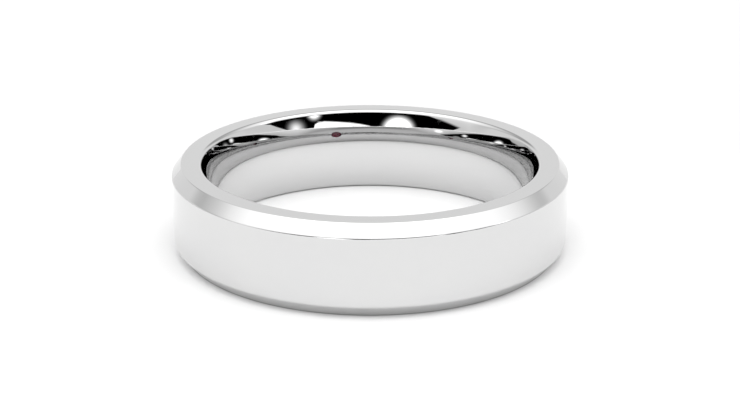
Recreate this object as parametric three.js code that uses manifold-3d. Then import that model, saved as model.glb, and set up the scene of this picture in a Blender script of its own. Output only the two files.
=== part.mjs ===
// A bevelled court wedding band in polished platinum, with one small round ruby flush set inside it.
// Millimetres, +Z up. The band lies on its lower flat edge: the finger hole runs along Z, and the
// origin is the centre of the hole on the plane of that edge. -Y is the front, +X the right.
import * as THREE from "three";
import { ConvexGeometry } from "three/addons/geometries/ConvexGeometry.js";
import { mergeVertices } from "three/addons/utils/BufferGeometryUtils.js";
import Module from "manifold-3d";

// ---- Band: driving dimensions ----
const fingerDiameter = 18.2; // at the crown of the court, where a ring size is measured
const bandWidth = 5.0; // along the finger
const wallThickness = 2.0; // from the crown of the court to the outer face
const bevelInset = 0.54; // radial run of each outer bevel
const bevelDrop = 0.65; // run of each outer bevel along the finger
const courtRadius = 8.7; // section arc of the inner face, which bulges towards the finger
const innerEdgeRadius = 0.22; // round that eases the inner face into each flat edge
const faceArrisRadius = 0.18; // polisher's softening between each bevel and the outer face
const rimArrisRadius = 0.04; // and between each bevel and its flat edge

// ---- Ruby: a round brilliant ----
const stoneDiameter = 1.7;
const tableShare = 0.57; // table width over stone diameter
const starShare = 0.5; // how far the star facets reach from the table edge to the girdle
const lowerHalfShare = 0.77; // how far the lower halves reach from the girdle to the culet
const crownAngle = 34.5;
const pavilionAngle = 40.8;
const girdleThickness = 0.045;
const stoneAzimuth = 36; // degrees round from the front towards +X

// ---- Seat: cut for the ruby, with the metal burnished over its girdle ----
const tableRecess = 0.04; // the table lies this far below the crown of the court
const seatClearance = 0.02; // all round the stone
const lipCover = 0.06; // how far the burnished lip reaches over the girdle
const lipLand = 0.03; // height of the lip's narrow inner edge
const mouthFlare = 0.05; // bright-cut flare of the mouth, beyond the girdle
const bearingShare = 0.5; // pilot hole diameter over stone diameter
const culetRoom = 0.12; // depth of the pilot hole below the culet
const drillPointAngle = 31; // slope of the drill point, from 118 degrees across

// ---- Facets per circle and per arc ----
const bandSegments = 96;
const seatSegments = 40;
const courtSteps = 10;
const edgeSteps = 5;
const arrisSteps = 3;

const radians = THREE.MathUtils.degToRad;
const wasm = await Module();
wasm.setup();

// ---- Sizes that follow ----
const crownRadius = fingerDiameter / 2;
const outerRadius = crownRadius + wallThickness;
const flatOuterRadius = outerRadius - bevelInset;
const midWidth = bandWidth / 2;
const edgeCentreDrop = midWidth - innerEdgeRadius;
const courtCentre = crownRadius + courtRadius;
const edgeCentreRadius = courtCentre - Math.sqrt((courtRadius - innerEdgeRadius) ** 2 - edgeCentreDrop ** 2);
const courtHalfAngle = Math.asin(edgeCentreDrop / (courtRadius - innerEdgeRadius));

const stoneRadius = stoneDiameter / 2;
const tableRadius = stoneRadius * tableShare;
const crownSlope = Math.tan(radians(crownAngle));
const pavilionSlope = Math.tan(radians(pavilionAngle));
const crownHeight = (stoneRadius - tableRadius) * crownSlope;
const girdleBottom = crownHeight + girdleThickness;
const culetDepth = girdleBottom + stoneRadius * pavilionSlope;

// ---- Drawing helpers ----
// Points along an arc, both ends included.
function arc(x, y, radius, from, to, steps) {
  return Array.from({ length: steps + 1 }, (_, i) => {
    const angle = from + ((to - from) * i) / steps;
    return new THREE.Vector2(x + radius * Math.cos(angle), y + radius * Math.sin(angle));
  });
}

// A corner of an anticlockwise outline, rounded to a radius.
function roundedCorner(before, corner, after, radius, steps) {
  const into = corner.clone().sub(before).normalize();
  const out = after.clone().sub(corner).normalize();
  const turn = Math.atan2(into.cross(out), into.dot(out));
  const back = radius * Math.tan(turn / 2);
  const start = corner.clone().addScaledVector(into, -back);
  const centre = start.clone().add(new THREE.Vector2(-into.y, into.x).multiplyScalar(radius));
  const first = Math.atan2(start.y - centre.y, start.x - centre.x);
  return arc(centre.x, centre.y, radius, first, first + turn, steps);
}

// An outline of (radius, height) points turned about Z.
function turned(outline, segments) {
  return new THREE.LatheGeometry(outline, segments).rotateX(Math.PI / 2);
}

// ---- Solids ----
function toSolid(geometry) {
  const bare = geometry.clone();
  bare.deleteAttribute("normal");
  bare.deleteAttribute("uv");
  const merged = mergeVertices(bare, 1e-4);
  return new wasm.Manifold(
    new wasm.Mesh({
      numProp: 3,
      vertProperties: merged.attributes.position.array,
      triVerts: new Uint32Array(merged.index.array),
    }),
  );
}

function toGeometry(solid) {
  const mesh = solid.getMesh();
  const geometry = new THREE.BufferGeometry();
  geometry.setAttribute("position", new THREE.BufferAttribute(mesh.vertProperties, 3));
  geometry.setIndex(new THREE.BufferAttribute(mesh.triVerts, 1));
  geometry.computeVertexNormals();
  return geometry;
}

// ---- Band ----
// Section of the band, anticlockwise from the lower flat edge: out, up the outside, in, down the inside.
function bandOutline() {
  const lowerFlatStart = new THREE.Vector2(edgeCentreRadius, 0);
  const upperFlatEnd = new THREE.Vector2(edgeCentreRadius, bandWidth);
  const corners = [
    lowerFlatStart,
    new THREE.Vector2(flatOuterRadius, 0),
    new THREE.Vector2(outerRadius, bevelDrop),
    new THREE.Vector2(outerRadius, bandWidth - bevelDrop),
    new THREE.Vector2(flatOuterRadius, bandWidth),
    upperFlatEnd,
  ];
  const arrisRadii = [rimArrisRadius, faceArrisRadius, faceArrisRadius, rimArrisRadius];
  const outside = arrisRadii.flatMap((radius, i) =>
    roundedCorner(corners[i], corners[i + 1], corners[i + 2], radius, arrisSteps),
  );
  const tangent = Math.PI - courtHalfAngle;
  const lowerTangent = Math.PI + courtHalfAngle;
  const upperEdge = arc(
    edgeCentreRadius, midWidth + edgeCentreDrop, innerEdgeRadius, Math.PI / 2, tangent, edgeSteps,
  );
  const court = arc(courtCentre, midWidth, courtRadius, tangent, lowerTangent, courtSteps).slice(1, -1);
  const lowerEdge = arc(
    edgeCentreRadius, midWidth - edgeCentreDrop, innerEdgeRadius, lowerTangent, 1.5 * Math.PI, edgeSteps,
  );
  return [...outside, ...upperEdge, ...court, ...lowerEdge, outside[0].clone()];
}

// Section of the seat cutter about the stone's axis. Height 0 is the table and + is towards the finger.
function seatOutline() {
  const mouthTop = tableRecess + stoneRadius;
  const wide = stoneRadius + seatClearance;
  const lip = stoneRadius - lipCover;
  const pilot = stoneRadius * bearingShare;
  const lipUnderside = -crownHeight + lipCover * crownSlope + seatClearance;
  const bearingTop = -girdleBottom - seatClearance;
  const bearingBottom = bearingTop - (wide - pilot) * pavilionSlope;
  const pilotBottom = -culetDepth - culetRoom;
  const flareSlope = (stoneRadius + mouthFlare - lip) / (tableRecess - lipUnderside - lipLand);
  return [
    new THREE.Vector2(0, pilotBottom - pilot * Math.tan(radians(drillPointAngle))),
    new THREE.Vector2(pilot, pilotBottom),
    new THREE.Vector2(pilot, bearingBottom),
    new THREE.Vector2(wide, bearingTop),
    new THREE.Vector2(wide, -crownHeight + seatClearance),
    new THREE.Vector2(lip, lipUnderside),
    new THREE.Vector2(lip, lipUnderside + lipLand),
    new THREE.Vector2(lip + flareSlope * (mouthTop - lipUnderside - lipLand), mouthTop),
    new THREE.Vector2(0, mouthTop),
  ];
}

// ---- Ruby ----
// Every facet of a round brilliant is flat, so the stone is the hull of its facet corners.
// Height 0 is the table, and the culet points down.
function brilliantCorners() {
  const points = [new THREE.Vector3(0, 0, -culetDepth)];
  const eighth = Math.PI / 4;
  const starRadius = THREE.MathUtils.lerp(tableRadius * Math.cos(eighth / 2), stoneRadius, starShare);
  const lowerRadius = stoneRadius * (1 - lowerHalfShare);
  const aside = Math.cos(eighth / 2); // a corner between two mains lies on both of their planes
  const starHeight = -crownHeight + (stoneRadius - starRadius * aside) * crownSlope;
  const lowerHeight = -girdleBottom - (stoneRadius - lowerRadius * aside) * pavilionSlope;
  const corner = (radius, angle, height) =>
    points.push(new THREE.Vector3(radius * Math.cos(angle), radius * Math.sin(angle), height));
  for (let k = 0; k < 8; k++) {
    const main = k * eighth;
    const between = main + eighth / 2;
    corner(tableRadius, main, 0);
    corner(starRadius, between, starHeight);
    corner(lowerRadius, between, lowerHeight);
    for (const angle of [main, between]) {
      corner(stoneRadius, angle, -crownHeight);
      corner(stoneRadius, angle, -girdleBottom);
    }
  }
  return points;
}

// ---- Assembly ----
// The stone's frame: its origin is the centre of the table, and its Z points at the ring's axis.
const stoneFrame = new THREE.Group();
const towardsStone = radians(stoneAzimuth) - Math.PI / 2;
const tableDistance = crownRadius + tableRecess;
stoneFrame.position.set(
  tableDistance * Math.cos(towardsStone), tableDistance * Math.sin(towardsStone), midWidth,
);
stoneFrame.rotation.set(0, -Math.PI / 2, towardsStone, "ZYX");
stoneFrame.updateMatrix();

const platinum = new THREE.MeshStandardMaterial({ color: 0xd6d6d6, roughness: 0.05, metalness: 1 });
const rubyRed = new THREE.MeshStandardMaterial({ color: 0x8c0f2c, roughness: 0.02, metalness: 0 });

const seatCutter = toSolid(turned(seatOutline(), seatSegments).applyMatrix4(stoneFrame.matrix));
const bandSolid = toSolid(turned(bandOutline(), bandSegments)).subtract(seatCutter);
const band = new THREE.Mesh(toGeometry(bandSolid), platinum);
band.name = "band";

const ruby = new THREE.Mesh(new ConvexGeometry(brilliantCorners()), rubyRed);
ruby.name = "ruby";
stoneFrame.add(ruby);

const weddingBand = new THREE.Group();
weddingBand.add(band, stoneFrame);

export default weddingBand;
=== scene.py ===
"""A polished platinum wedding band lying on a pale studio floor."""

import math

import bpy
import numpy as np
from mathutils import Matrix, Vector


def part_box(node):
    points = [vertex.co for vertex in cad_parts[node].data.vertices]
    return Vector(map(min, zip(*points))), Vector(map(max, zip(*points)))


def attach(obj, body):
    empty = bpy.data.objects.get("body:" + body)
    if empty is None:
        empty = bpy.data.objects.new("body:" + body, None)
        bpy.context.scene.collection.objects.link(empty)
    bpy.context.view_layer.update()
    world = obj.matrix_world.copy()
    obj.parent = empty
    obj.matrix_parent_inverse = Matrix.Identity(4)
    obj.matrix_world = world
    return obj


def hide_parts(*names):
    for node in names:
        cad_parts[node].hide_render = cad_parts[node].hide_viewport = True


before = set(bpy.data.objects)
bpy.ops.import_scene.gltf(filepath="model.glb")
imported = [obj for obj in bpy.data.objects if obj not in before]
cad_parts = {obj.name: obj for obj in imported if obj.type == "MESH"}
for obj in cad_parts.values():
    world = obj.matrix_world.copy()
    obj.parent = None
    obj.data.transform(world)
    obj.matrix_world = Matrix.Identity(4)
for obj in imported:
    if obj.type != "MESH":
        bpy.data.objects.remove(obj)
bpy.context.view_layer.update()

MM = 0.001

# ---- Sizes that the frame gives ----
_, BAND_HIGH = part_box("band")
RUBY_LOW, RUBY_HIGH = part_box("ruby")
OUTER_RADIUS = BAND_HIGH.x
WIDTH = BAND_HIGH.z
MID_WIDTH = WIDTH / 2
RUBY_CENTRE = (RUBY_LOW + RUBY_HIGH) / 2
STONE_RADIUS = (RUBY_HIGH.z - RUBY_LOW.z) / 2

# ---- Sizes of the band's section, as the CAD model has them ----
WALL = 2.0 * MM
BEVEL_INSET = 0.54 * MM
BEVEL_DROP = 0.65 * MM
COURT_RADIUS = 8.7 * MM
INNER_EDGE_RADIUS = 0.22 * MM
FACE_ARRIS_RADIUS = 0.18 * MM  # between each bevel and the outer face
RIM_ARRIS_RADIUS = 0.04 * MM  # between each bevel and its flat edge
CROWN_RADIUS = OUTER_RADIUS - WALL

# ---- Sizes of the ruby's seat, as the CAD model has them ----
SEAT_CLEARANCE = 0.02 * MM
LIP_COVER = 0.06 * MM
LIP_LAND = 0.03 * MM
MOUTH_FLARE = 0.05 * MM
BEARING_SHARE = 0.5
CULET_ROOM = 0.12 * MM
GIRDLE_THICKNESS = 0.045 * MM
CROWN_SLOPE = math.tan(math.radians(34.5))
PAVILION_SLOPE = math.tan(math.radians(40.8))
DRILL_POINT_SLOPE = math.tan(math.radians(31))

# ---- Fineness of the band's mesh ----
SEGMENTS = 576
COURT_STEPS = 40
EDGE_STEPS = 10
ARRIS_STEPS = 5
SUPPORT = 0.008 * MM  # a loop this far inside each flat keeps the flat's shading flat
WINDOW_SEGMENTS = 11  # half the window that the seat is let into, round the band
WINDOW_STEPS = 10  # and across it
WINDOW_RINGS = 6  # from the window's rim to the seat's mouth
MOUTH_BLEND = 0.2 * MM  # the court eases into the seat's mouth over this width
SEAT_STEPS = 6


# ---- Drawing helpers ----
def arc(centre, radius, start, end, steps):
    """Points along an arc, both ends included."""
    angles = np.linspace(start, end, steps + 1)
    return [np.array(centre) + radius * np.array([math.cos(a), math.sin(a)]) for a in angles]


def rounded(before, corner, after, radius, steps):
    """A corner of an outline as an arc, with a support point outside each end of it."""
    into = (corner - before) / np.linalg.norm(corner - before)
    out = (after - corner) / np.linalg.norm(after - corner)
    turn = math.atan2(into[0] * out[1] - into[1] * out[0], into @ out)
    side = math.copysign(1, turn)
    start = corner - into * radius * math.tan(abs(turn) / 2)
    centre = start + side * radius * np.array([-into[1], into[0]])
    first = math.atan2(*(start - centre)[::-1])
    points = arc(centre, radius, first, first + turn, steps)
    return [points[0] - into * SUPPORT, *points, points[-1] + out * SUPPORT]


def new_object(name, vertices, faces):
    mesh = bpy.data.meshes.new(name)
    mesh.from_pydata([tuple(v) for v in vertices], [], [tuple(f) for f in faces])
    mesh.shade_smooth()
    mesh.validate()
    piece = bpy.data.objects.new(name, mesh)
    bpy.context.scene.collection.objects.link(piece)
    return piece


# ---- Band ----
COURT_CENTRE = CROWN_RADIUS + COURT_RADIUS
EDGE_DROP = MID_WIDTH - INNER_EDGE_RADIUS
EDGE_CENTRE = COURT_CENTRE - math.sqrt((COURT_RADIUS - INNER_EDGE_RADIUS) ** 2 - EDGE_DROP**2)
COURT_HALF_ANGLE = math.asin(EDGE_DROP / (COURT_RADIUS - INNER_EDGE_RADIUS))


def band_section():
    """The band's closed outline as (radius, height), anticlockwise, and where the court starts."""
    flat = OUTER_RADIUS - BEVEL_INSET
    corners = [
        np.array(corner)
        for corner in (
            (EDGE_CENTRE, 0),
            (flat, 0),
            (OUTER_RADIUS, BEVEL_DROP),
            (OUTER_RADIUS, WIDTH - BEVEL_DROP),
            (flat, WIDTH),
            (EDGE_CENTRE, WIDTH),
        )
    ]
    radii = (RIM_ARRIS_RADIUS, FACE_ARRIS_RADIUS, FACE_ARRIS_RADIUS, RIM_ARRIS_RADIUS)
    outline = []
    for before, corner, after, radius in zip(corners, corners[1:], corners[2:], radii):
        outline += rounded(before, corner, after, radius, ARRIS_STEPS)
    tangent = math.pi - COURT_HALF_ANGLE
    top = (EDGE_CENTRE, MID_WIDTH + EDGE_DROP)
    bottom = (EDGE_CENTRE, MID_WIDTH - EDGE_DROP)
    outline.append(np.array([EDGE_CENTRE + SUPPORT, WIDTH]))
    outline += arc(top, INNER_EDGE_RADIUS, math.pi / 2, tangent, EDGE_STEPS)
    court_start = len(outline) - 1
    court = arc((COURT_CENTRE, MID_WIDTH), COURT_RADIUS, tangent, 2 * math.pi - tangent, COURT_STEPS)
    outline += court[1:-1]
    outline += arc(bottom, INNER_EDGE_RADIUS, 2 * math.pi - tangent, 1.5 * math.pi, EDGE_STEPS)
    outline.append(np.array([EDGE_CENTRE + SUPPORT, 0]))
    return outline, court_start


STONE_ANGLE = math.atan2(RUBY_CENTRE.y, RUBY_CENTRE.x)
TOWARDS_STONE = np.array([math.cos(STONE_ANGLE), math.sin(STONE_ANGLE), 0])
ACROSS_STONE = np.array([-TOWARDS_STONE[1], TOWARDS_STONE[0], 0])
UP = np.array([0, 0, 1.0])
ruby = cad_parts["ruby"]
ruby_points = np.array([v.co for v in ruby.data.vertices])
TABLE_DISTANCE = (ruby_points @ TOWARDS_STONE).min()
CULET_DEPTH = (ruby_points @ TOWARDS_STONE).max() - TABLE_DISTANCE


def court_distance(across, up):
    """Distance of the court from the ring's axis, along the stone's axis, at a place beside it."""
    radius = COURT_CENTRE - math.sqrt(COURT_RADIUS**2 - up**2)
    return math.sqrt(radius**2 - across**2)


def seat_section():
    """The seat from its burnished mouth to its drill point, and the depth of the point. Each place is
    (radius, depth below the crown, share of the court's curve that it follows)."""
    recess = TABLE_DISTANCE - CROWN_RADIUS
    girdle_bottom = recess + CULET_DEPTH - STONE_RADIUS * PAVILION_SLOPE
    girdle_top = girdle_bottom - GIRDLE_THICKNESS
    lip = STONE_RADIUS - LIP_COVER
    wide = STONE_RADIUS + SEAT_CLEARANCE
    mouth = STONE_RADIUS + MOUTH_FLARE
    pilot = STONE_RADIUS * BEARING_SHARE
    underside = girdle_top - LIP_COVER * CROWN_SLOPE - SEAT_CLEARANCE
    land = underside - LIP_LAND
    bearing = girdle_bottom + SEAT_CLEARANCE
    pilot_bottom = recess + CULET_DEPTH + CULET_ROOM
    point = pilot_bottom + pilot * DRILL_POINT_SLOPE
    # each place is followed by the radius that eases it
    places = [
        (mouth + MOUTH_BLEND, 0, None),
        (mouth, 0, 0.08),
        (lip, land, 0.02),
        (lip, underside, 0.01),
        (wide, girdle_top - SEAT_CLEARANCE, 0.005),
        (wide, bearing, 0.01),
        (pilot, bearing + (wide - pilot) * PAVILION_SLOPE, 0.02),
        (pilot, pilot_bottom, 0.03),
        (0, point, None),
    ]
    profile = []
    for before, here, after in zip(places, places[1:], places[2:]):
        corners = [np.array(place[:2]) for place in (before, here, after)]
        profile += rounded(*corners, here[2] * MM, SEAT_STEPS)
    return [(radius, depth, max(0.0, 1 - depth / land)) for radius, depth in profile], point


def band_mesh():
    """The band turned from its section, with the ruby's seat let into a window in its court."""
    outline, court_start = band_section()
    rows = len(outline)
    vertices = []
    index = {}
    middle = court_start + COURT_STEPS // 2
    turn = 2 * math.pi / SEGMENTS
    for k in range(SEGMENTS):
        angle = STONE_ANGLE + k * turn
        for row, (radius, height) in enumerate(outline):
            inside = abs((k + SEGMENTS // 2) % SEGMENTS - SEGMENTS // 2) < WINDOW_SEGMENTS
            if inside and abs(row - middle) < WINDOW_STEPS:
                continue
            index[k, row] = len(vertices)
            vertices.append((radius * math.cos(angle), radius * math.sin(angle), height))
    faces = []
    for k in range(SEGMENTS):
        for row in range(rows):
            ahead, above = (k + 1) % SEGMENTS, (row + 1) % rows
            corners = [(k, row), (ahead, row), (ahead, above), (k, above)]
            signed = [((c + SEGMENTS // 2) % SEGMENTS - SEGMENTS // 2, r) for c, r in corners]
            if all(abs(c) <= WINDOW_SEGMENTS and abs(r - middle) <= WINDOW_STEPS for c, r in signed):
                continue
            faces.append([index[c] for c in corners])

    # the window's rim, in order round the stone, and the rings that lead from it into the seat
    low, high = middle - WINDOW_STEPS, middle + WINDOW_STEPS
    left, right = -WINDOW_SEGMENTS, WINDOW_SEGMENTS
    rim = [(k, low) for k in range(left, right)] + [(right, row) for row in range(low, high)]
    rim += [(k, high) for k in range(right, left, -1)] + [(left, row) for row in range(high, low, -1)]
    loop = [index[k % SEGMENTS, row] for k, row in rim]
    places = [np.array(vertices[i]) for i in loop]
    flat = np.array([(p @ ACROSS_STONE, p[2] - MID_WIDTH) for p in places])
    directions = flat / np.linalg.norm(flat, axis=1)[:, None]
    seat, point = seat_section()
    mouth = seat[0][0]

    def add_ring(points):
        nonlocal loop
        ring = list(range(len(vertices), len(vertices) + len(points)))
        vertices.extend(tuple(p) for p in points)
        for i in range(len(ring)):
            j = (i + 1) % len(ring)
            faces.append([loop[i], loop[j], ring[j], ring[i]])
        loop = ring

    def place(across, up, distance):
        return TOWARDS_STONE * distance + ACROSS_STONE * across + UP * (MID_WIDTH + up)

    for share in np.linspace(0, 1, WINDOW_RINGS + 1)[1:-1]:
        spots = flat * (1 - share) + directions * mouth * share
        add_ring([place(a, u, court_distance(a, u)) for a, u in spots])
    for radius, depth, follow in seat:
        ring = []
        for a, u in directions * radius:
            bulge = court_distance(a, u) - CROWN_RADIUS
            ring.append(place(a, u, CROWN_RADIUS + depth + follow * bulge))
        add_ring(ring)
    tip = len(vertices)
    vertices.append(tuple(place(0, 0, CROWN_RADIUS + point)))
    for i in range(len(loop)):
        faces.append([loop[i], loop[(i + 1) % len(loop)], tip])
    return new_object("polished_band", vertices, faces)


band = band_mesh()
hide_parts("band")
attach(band, "root")


# ---- Node arithmetic ----
class Field:
    """A number that varies over a node tree's domain. Arithmetic on it adds Math nodes."""

    def __init__(self, tree, socket):
        self.tree = tree
        self.socket = socket

    def math(self, operation, *others):
        """A Math node's result from this field and others, which may be plain numbers."""
        node = self.tree.nodes.new("ShaderNodeMath")
        node.operation = operation
        for place, value in enumerate((self, *others)):
            if isinstance(value, Field):
                self.tree.links.new(value.socket, node.inputs[place])
            else:
                node.inputs[place].default_value = value
        return Field(self.tree, node.outputs[0])

    def __add__(self, other):
        return self.math("ADD", other)

    def __sub__(self, other):
        return self.math("SUBTRACT", other)

    def __mul__(self, other):
        return self.math("MULTIPLY", other)

    def __rsub__(self, other):
        return self * -1 + other

    __radd__ = __add__
    __rmul__ = __mul__

    def step(self, start, end):
        """0 up to start and 1 from end, with a soft change between. When end comes first, it is 1 up to
        end and 0 from start."""
        node = self.tree.nodes.new("ShaderNodeMapRange")
        node.interpolation_type = "SMOOTHSTEP"
        self.tree.links.new(self.socket, node.inputs["Value"])
        node.inputs["From Min"].default_value = min(start, end)
        node.inputs["From Max"].default_value = max(start, end)
        node.inputs["To Min"].default_value = float(start > end)
        node.inputs["To Max"].default_value = float(start <= end)
        return Field(self.tree, node.outputs[0])

    def curve(self, points):
        """Straight runs between (value, result) points."""
        low, high = points[0][0], points[-1][0]
        top = max(result for _, result in points)
        node = self.tree.nodes.new("ShaderNodeValToRGB")
        ramp = node.color_ramp
        share = (self - low) * (1 / (high - low))
        self.tree.links.new(share.socket, node.inputs[0])
        for element in list(ramp.elements)[2:]:
            ramp.elements.remove(element)
        while len(ramp.elements) < len(points):
            ramp.elements.new(0.5)
        for element, (value, _) in zip(ramp.elements, points):
            element.position = (value - low) / (high - low)
        for element, (_, result) in zip(ramp.elements, points):
            element.color = (result / top, result / top, result / top, 1)
        return Field(self.tree, node.outputs[0]) * top

    def mix(self, other, share):
        """This field where the share is 0, and the other field or number where the share is 1."""
        return self + (other - self) * share


# ---- Materials ----
PLATINUM_COLOURS = (0.652, 0.652, 0.656), (0.668, 0.667, 0.664)
HAIRLINES = 45  # a millimetre, across the band
HAIRLINE_BREAKS = 40  # a radian, round it
RUBY_COLOURS = (0.13, 0.003, 0.022), (0.2, 0.006, 0.04)
RUBY_IOR = 1.77
PAPER_BRIGHTNESS = 0.812
PAINTED_BACK_SHADE = 0.12  # painted shade: how much darker the paper's colour is made behind the band than in front of it
CONTACT_SHADE = 0.35  # and, as a painted contact shadow, under the band than beside it


def new_material(name):
    material = bpy.data.materials.new(name)
    material.use_nodes = True
    return material, material.node_tree, material.node_tree.nodes["Principled BSDF"]


def millimetres(tree):
    """Where a point of the piece is, as three Fields in millimetres."""
    split = tree.nodes.new("ShaderNodeSeparateXYZ")
    tree.links.new(tree.nodes.new("ShaderNodeTexCoord").outputs["Object"], split.inputs[0])
    return [Field(tree, output) * (1 / MM) for output in split.outputs]


def noise(place, detail, w=None):
    """Smooth noise from 0 to 1 at a place given as three Fields, with an optional fourth."""
    tree = place[0].tree
    node = tree.nodes.new("ShaderNodeTexNoise")
    node.inputs["Scale"].default_value = 1
    node.inputs["Detail"].default_value = detail
    join = tree.nodes.new("ShaderNodeCombineXYZ")
    for field, socket in zip(place, join.inputs):
        tree.links.new(field.socket, socket)
    tree.links.new(join.outputs[0], node.inputs["Vector"])
    if w is not None:
        node.noise_dimensions = "4D"
        tree.links.new(w.socket, node.inputs["W"])
    return Field(tree, node.outputs["Fac"])


def colour_between(shader, share, first, second):
    """Drives a shader's base colour from one colour to another."""
    node = share.tree.nodes.new("ShaderNodeValToRGB")
    for element, colour in zip(node.color_ramp.elements, (first, second)):
        element.color = (*colour, 1)
    share.tree.links.new(share.socket, node.inputs[0])
    share.tree.links.new(node.outputs[0], shader.inputs["Base Color"])


def relief(shader, height_in_microns):
    """Bumps a shader's surface by a height."""
    tree = height_in_microns.tree
    bump = tree.nodes.new("ShaderNodeBump")
    bump.inputs["Distance"].default_value = 0.001 * MM
    tree.links.new(height_in_microns.socket, bump.inputs["Height"])
    tree.links.new(bump.outputs["Normal"], shader.inputs["Normal"])


def platinum():
    """Mirror polish with the buff's hairlines round the ring, faint handling marks and worn arrises."""
    material, tree, shader = new_material("polished_platinum")
    x, y, z = millimetres(tree)
    radius = (x * x + y * y).math("SQRT")
    around = [side.math("DIVIDE", radius) * HAIRLINE_BREAKS for side in (x, y)]
    hairlines = noise([*around, z * HAIRLINES], 2, radius * HAIRLINES)
    clouds = noise([x * 0.35, y * 0.35, z * 0.35], 3)
    waves = noise([x * 0.5, y * 0.5, z * 0.5], 0)

    # long thin scratches are the contours of slow noise, broken up by a second noise
    contour = (noise([x * 0.8, y * 0.8, z * 0.45], 1) - 0.5).math("ABSOLUTE")
    broken = noise([x * 1.1 + 7, y * 1.1, z * 1.1], 2).step(0.52, 0.6)
    scratches = contour.step(0.004, 0.001) * broken

    # wear gathers along the arris between each bevel and the outer face
    from_middle = (z - MID_WIDTH / MM).math("ABSOLUTE")
    arris = (MID_WIDTH - BEVEL_DROP) / MM
    near_arris = (from_middle - arris).math("ABSOLUTE").step(0.25, 0.05)
    outer_face = (OUTER_RADIUS - 2 * FACE_ARRIS_RADIUS) / MM
    worn = noise([x * 6, y * 6, z * 6], 2).step(0.5, 0.7)
    wear = near_arris * radius.step(outer_face - 0.1, outer_face) * worn

    handled = clouds.step(0.4, 0.7)
    roughness = hairlines * 0.014 + handled * 0.014 + scratches * 0.06 + wear * 0.05 + 0.006
    tree.links.new(roughness.socket, shader.inputs["Roughness"])
    relief(shader, hairlines * 0.06 + waves * 1.5 - scratches * 0.1 - wear * 0.3)
    colour_between(shader, clouds, *PLATINUM_COLOURS)
    shader.inputs["Metallic"].default_value = 1.0
    return material


def ruby_red():
    """Deep red with straight colour zones and a trace of silk."""
    material, tree, shader = new_material("ruby")
    x, y, z = millimetres(tree)
    zones = noise([x * 2.4 + z, y * 0.8 - z, z * 3.2], 2)
    silk = noise([x * 4, y * 30, z * 12], 2).step(0.62, 0.75)
    colour_between(shader, zones.step(0.3, 0.7), *RUBY_COLOURS)
    tree.links.new((silk * 0.03 + 0.004).socket, shader.inputs["Roughness"])
    shader.inputs["Transmission Weight"].default_value = 1
    shader.inputs["IOR"].default_value = RUBY_IOR
    return material


def pale_paper():
    """Matt white paper with a fine tooth, with painted shade making it a little darker behind the band
    and a painted contact shadow under its flat edge.
    """
    material, tree, shader = new_material("pale_paper")
    x, y, z = millimetres(tree)
    flat_outer = (OUTER_RADIUS - BEVEL_INSET) / MM
    flat_inner = EDGE_CENTRE / MM
    tooth = noise([x * 9, y * 9, z * 9], 3)
    mottle = noise([x * 0.6, y * 0.6, z * 0.6], 2)
    spread = (x * x + y * y).math("SQRT")
    # painted contact shadow: the paper's colour is darkened in a ring under the band's flat edge
    painted_contact_shadow = spread.step(flat_inner - 0.1, flat_inner) * spread.step(flat_outer + 0.05, flat_outer)
    # painted shade: the paper's colour is darkened behind the band
    behind = y.step(8, 18)
    brightness = behind * -PAINTED_BACK_SHADE + mottle * 0.016 + PAPER_BRIGHTNESS - painted_contact_shadow * CONTACT_SHADE
    tree.links.new(brightness.socket, shader.inputs["Base Color"])
    tree.links.new((tooth * 0.1 + 0.85).socket, shader.inputs["Roughness"])
    relief(shader, tooth * 2)
    shader.inputs["Specular IOR Level"].default_value = 0.0
    return material


band.data.materials.append(platinum())
ruby.data.materials.clear()
ruby.data.materials.append(ruby_red())

# ---- Floor ----
FLOOR_RADIUS = 1.2
FLOOR_GAP = 0.005 * MM  # the floor lies this far below the band
FLOOR_SEGMENTS = 96


def floor():
    ring = [2 * math.pi * i / FLOOR_SEGMENTS for i in range(FLOOR_SEGMENTS)]
    vertices = [(FLOOR_RADIUS * math.cos(a), FLOOR_RADIUS * math.sin(a), 0) for a in ring]
    piece = new_object("floor", vertices, [range(FLOOR_SEGMENTS)])
    piece.location.z = -FLOOR_GAP
    piece.data.materials.append(pale_paper())
    return piece


floor()

# ---- Camera ----
CAMERA_DISTANCE = 7.695 * OUTER_RADIUS
CAMERA_ELEVATION = math.radians(19.63)  # as seen from the band's middle
CAMERA_DIP = math.radians(19.972)  # of its own axis below the level
CAMERA_LENS = 73.24
camera_data = bpy.data.cameras.new("camera")
camera_data.lens = CAMERA_LENS
camera_data.sensor_width = 36
camera_data.clip_start = 0.001
camera_data.clip_end = 100
camera = bpy.data.objects.new("camera", camera_data)
bpy.context.scene.collection.objects.link(camera)
camera.location = (
    0,
    -CAMERA_DISTANCE * math.cos(CAMERA_ELEVATION),
    MID_WIDTH + CAMERA_DISTANCE * math.sin(CAMERA_ELEVATION),
)
camera.rotation_euler = (math.pi / 2 - CAMERA_DIP, 0, 0)
bpy.context.scene.camera = camera

# ---- Studio ----
# Directions are given as azimuth, from the camera's side (-Y) towards +X, and elevation, in degrees.
DEGREES = 180 / math.pi
WALL_RADIANCE = 0.93
# (azimuth, elevation) along the top of the gap between the walls and the ceiling of light
GAP_TOP = [
    (-180, 31), (-150, 29), (-126, 26), (-120, 25), (-114, 22.5), (-108, 21), (-102, 19), (-96, 16),
    (-90, 12), (-75, 5), (-60, 4), (-45, 9), (0, 12), (40, 15), (60, 13), (75, 6), (90, 9), (96, 10),
    (102, 14), (108, 17), (114, 21.5), (120, 24), (126, 26), (150, 29), (180, 31),
]
# (azimuth, radiance) in the gap
GAP_RADIANCE = [
    (-180, 0.45), (-135, 0.45), (-120, 0.68), (-105, 0.66), (-90, 0.78), (-75, 0.92), (-60, 0.74),
    (-45, 0.7), (60, 0.7), (75, 0.85), (105, 0.84), (120, 0.74), (135, 0.5), (180, 0.45),
]
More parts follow.
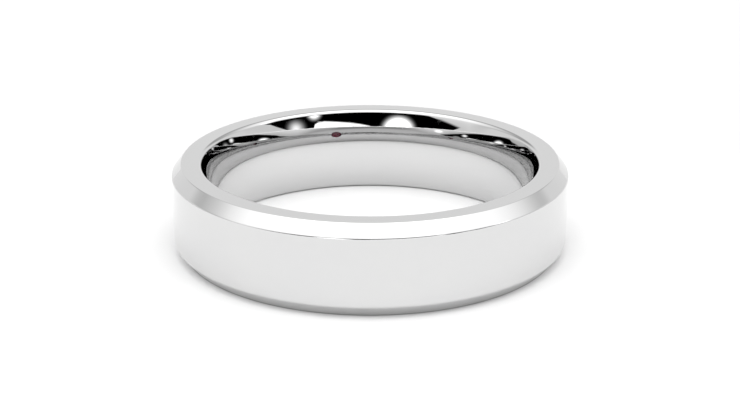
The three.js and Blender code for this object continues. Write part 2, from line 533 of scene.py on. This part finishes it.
# (degrees above the gap, share of the ceiling's light)
CEILING_RISE = [(-1, 0), (0, 0), (7, 0.3), (18, 0.75), (30, 1), (90, 1)]
# (elevation, radiance) of the ceiling in front
CEILING_RADIANCE = [(0, 1.5), (45, 1.55), (64, 2.6), (90, 2.3)]
# (azimuth to either side, share by which the ceiling is dimmer there)
BACK_DIMMING = [(0, 0), (84, 0), (90, 0.03), (120, 0.22), (180, 0.55)]
# (elevation, how much of that share is left)
OVERHEAD_DIMMING = [(0, 1), (64, 1), (90, 0)]
# (azimuth, elevation) along the dark end's left shoulder and along the top of the reflector card
SHOULDER_TOP = [(-70, 3.5), (-66, 4.9), (-48, 10.9), (-37, 20), (-20, 32)]
CARD_TOP = [
    (-0.5, 0), (0, 3.3), (7, 5), (15, 6.3), (24, 7.3), (33, 8), (37.5, 7.3), (40, 5.8), (41.5, 0),
]
DARK_TOP = 0.455  # the dark end's height over its distance
DARK_MIDDLE = 10  # the azimuth at which it looks tallest
CARD_POWER = 1.8  # the lamps in the dark end are given as shares of it

def studio():
    """A pale studio all round, whose dark end has its own lights."""
    world = bpy.data.worlds.new("studio")
    world.use_nodes = True
    tree = world.node_tree
    direction = tree.nodes.new("ShaderNodeTexCoord").outputs["Generated"]
    split = tree.nodes.new("ShaderNodeSeparateXYZ")
    tree.links.new(direction, split.inputs[0])
    x, y, z = (Field(tree, output) for output in split.outputs)
    elevation = z.math("ARCSINE") * DEGREES
    azimuth = x.math("ARCTAN2", y * -1) * DEGREES
    aside = azimuth.math("ABSOLUTE")

    def lamp(centre_azimuth, centre_elevation, core, halo):
        """A round soft light, full inside its core and gone at its halo."""
        a, e = math.radians(centre_azimuth), math.radians(centre_elevation)
        cosine = x * (math.cos(e) * math.sin(a)) + y * (-math.cos(e) * math.cos(a)) + z * math.sin(e)
        glow = (cosine.math("MINIMUM", 1.0).math("ARCCOSINE") * DEGREES).step(halo, core)
        return glow * glow

    # the walls and the ceiling of light meet in a darker gap, which rises towards the back
    over = elevation - azimuth.curve(GAP_TOP)
    dimming = aside.curve(BACK_DIMMING) * elevation.curve(OVERHEAD_DIMMING)
    ceiling = elevation.curve(CEILING_RADIANCE) * (1 - dimming)
    surround = azimuth.curve(GAP_RADIANCE).mix(WALL_RADIANCE, over.step(-2, -10))
    surround = surround.mix(ceiling, over.curve(CEILING_RISE))

    # one lamp stands on the right, outside the dark end
    surround = surround + lamp(81, 22.5, 3.5, 9) * 1.3

    # The dark end of the studio, behind the camera. Its top edge is straight, so it looks arched, and
    # slopes down on the left. Its sides lean outwards.
    turned = (azimuth - DARK_MIDDLE) * (1 / DEGREES)
    arch = (turned.math("COSINE") * DARK_TOP).math("ARCTANGENT") * DEGREES
    dark = (arch.math("MINIMUM", azimuth.curve(SHOULDER_TOP)) - elevation).step(-1.5, 0.7)
    dark = dark * (azimuth - elevation * 2.8).step(55, 53) * (azimuth + elevation * 2.5).step(-56, -54)

    # what lights it: a reflector card, a wide lamp and two small ones
    card = (azimuth.curve(CARD_TOP) - elevation).step(-0.6, 0.6)
    lights = card + lamp(-20.5, 0.5, 6, 15.5) * 2
    lights = lights + lamp(54.5, 3, 0, 11) * 0.85 + lamp(40.5, 14, 1, 7.5) * 1.2
    radiance = surround * (1 - dark) + lights * dark * CARD_POWER

    background = tree.nodes["Background"]
    tree.links.new(radiance.socket, background.inputs["Color"])
    background.inputs["Strength"].default_value = 1.0
    return world


scene = bpy.context.scene
scene.view_settings.view_transform = "Standard"
scene.world = studio()
